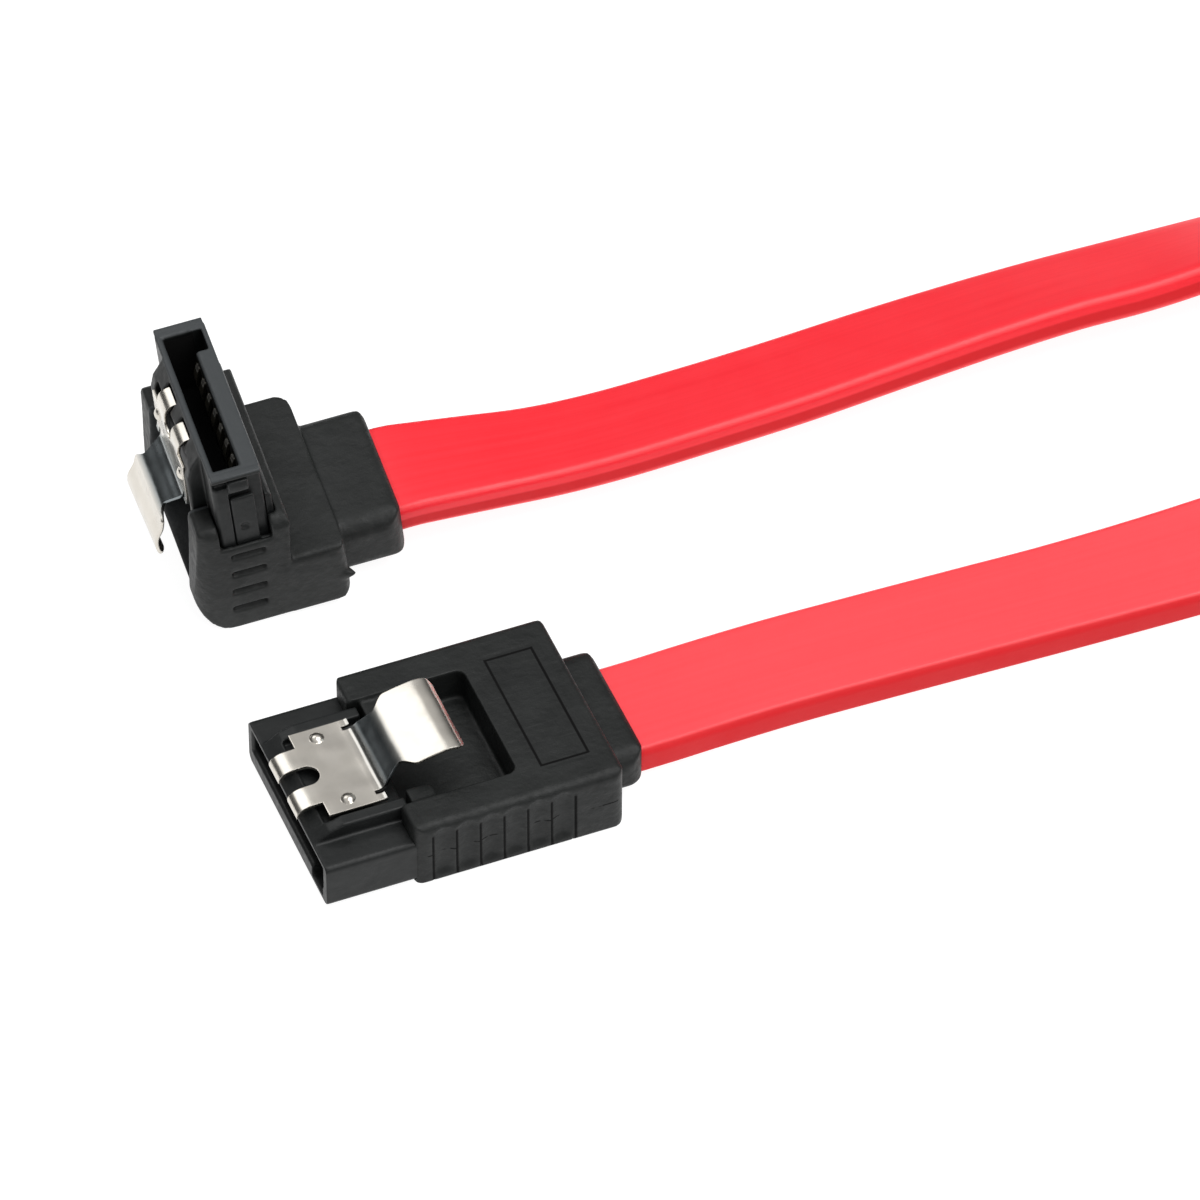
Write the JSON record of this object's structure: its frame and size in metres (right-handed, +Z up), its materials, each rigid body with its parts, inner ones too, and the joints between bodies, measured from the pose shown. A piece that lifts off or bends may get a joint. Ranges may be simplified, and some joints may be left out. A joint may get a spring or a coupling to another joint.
{
  "type": "sata data cable",
  "caption": "Flat red data cable with a straight latching plug at one end and a right-angle latching plug at the other.",
  "frame": {"origin": "on the surface, under the middle of the two plugs; the free cord is left out", "axes": "+X along the straight plug, from its mating face to its cord; +Z up; +Y across both plugs, from the straight one to the angled one"},
  "size_m": [0.1979, 0.0578, 0.0124],
  "materials": {
    "socket_plastic": "satin black",
    "hood_plastic": "matt black, lightly scuffed",
    "latch_steel": "bright nickel",
    "contact_gold": "gold flash",
    "jacket": "satin red, drawn along its length"
  },
  "bodies": {
    "cable": {"cable_jacket": "jacket", "straight_hood": "hood_plastic", "straight_contact_housing": "socket_plastic", "straight_wire_holder": "socket_plastic", "straight_contact_1": "contact_gold", "straight_contact_2": "contact_gold", "straight_contact_3": "contact_gold", "straight_contact_4": "contact_gold", "straight_contact_5": "contact_gold", "straight_contact_6": "contact_gold", "straight_contact_7": "contact_gold", "angled_hood": "hood_plastic", "angled_contact_housing": "socket_plastic", "angled_wire_holder": "socket_plastic", "angled_rear_cover": "socket_plastic", "angled_contact_1": "contact_gold", "angled_contact_2": "contact_gold", "angled_contact_3": "contact_gold", "angled_contact_4": "contact_gold", "angled_contact_5": "contact_gold", "angled_contact_6": "contact_gold", "angled_contact_7": "contact_gold"},
    "straight_latch": {"straight_latch": "latch_steel"},
    "angled_latch": {"angled_latch": "latch_steel"}
  },
  "joints": [
    {"name": "straight_latch_press", "type": "hinge", "parent": "cable", "child": "straight_latch", "pos_m": [-0.00969, -0.01137, 0.0035], "axis": [0, 1, 0], "range_deg": [0, 5], "stiffness_Nm_per_rad": 0.4},
    {"name": "angled_latch_press", "type": "hinge", "parent": "cable", "child": "angled_latch", "pos_m": [-0.00774, 0.01143, 0.01135], "axis": [-0.0915, -0.9958, 0], "range_deg": [0, 5], "stiffness_Nm_per_rad": 0.4}
  ]
}
